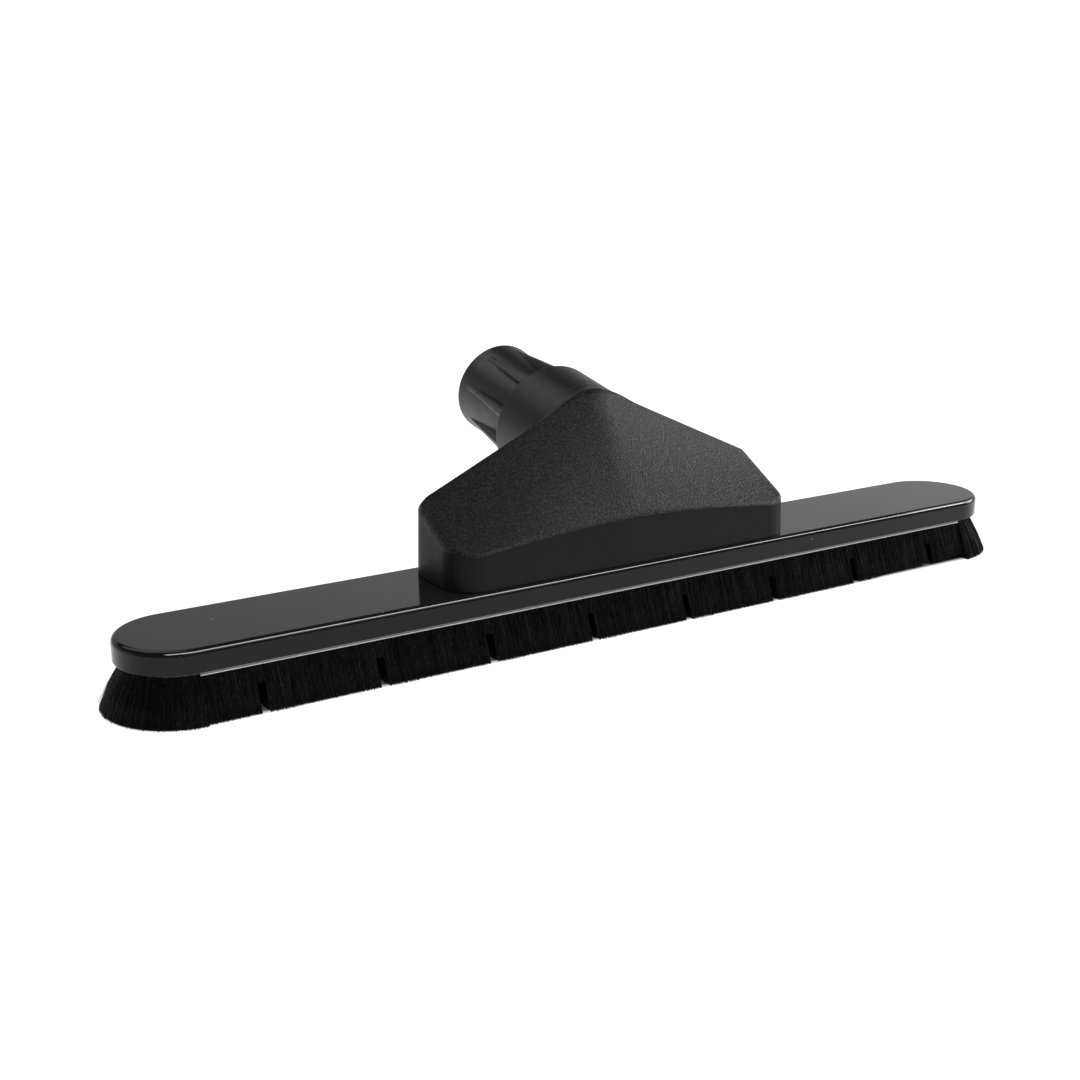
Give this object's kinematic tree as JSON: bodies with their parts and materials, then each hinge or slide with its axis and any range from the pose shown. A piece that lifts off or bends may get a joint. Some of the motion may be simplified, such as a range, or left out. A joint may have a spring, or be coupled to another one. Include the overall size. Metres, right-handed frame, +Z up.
{
  "type": "vacuum floor brush head",
  "caption": "Long vacuum-cleaner floor head with a strip brush round its edge, a fan-shaped suction hood and a swivelling ribbed wand cuff.",
  "frame": {"origin": "on the floor, under the middle of the whole part's box", "axes": "+X along the head, +Y towards the wand cuff at the rear, +Z up"},
  "size_m": [0.4586, 0.1298, 0.1094],
  "materials": {
    "gloss_plate": "high gloss, moulded black",
    "matt_shell": "fine spark-eroded grain, matt black",
    "matt_cuff": "smooth satin black",
    "bristle_filament": "dense black filaments",
    "galvanised_steel": "galvanised, dull",
    "zinc_steel": "zinc plated",
    "seal_rubber": "matt"
  },
  "bodies": {
    "head": {"base_plate": "gloss_plate", "hood": "matt_shell", "hood_gasket": "seal_rubber", "hood_screw_1": "zinc_steel", "hood_screw_2": "zinc_steel", "hood_screw_3": "zinc_steel", "hood_screw_4": "zinc_steel", "hood_screw_5": "zinc_steel", "hood_screw_6": "zinc_steel", "front_channel": "galvanised_steel", "front_wire": "zinc_steel", "front_bristles": "bristle_filament", "rear_channel": "galvanised_steel", "rear_wire": "zinc_steel", "rear_bristles": "bristle_filament", "left_channel": "galvanised_steel", "left_wire": "zinc_steel", "left_bristles": "bristle_filament", "right_channel": "galvanised_steel", "right_wire": "zinc_steel", "right_bristles": "bristle_filament"},
    "cuff": {"wand_cuff": "matt_cuff", "cuff_retaining_ring": "zinc_steel", "cuff_seal_ring": "seal_rubber"}
  },
  "joints": [
    {"name": "cuff_swivel", "type": "hinge", "parent": "head", "child": "cuff", "pos_m": [0, 0.01443, 0.079], "axis": [0, 0.9816, 0.1908], "continuous": true}
  ]
}
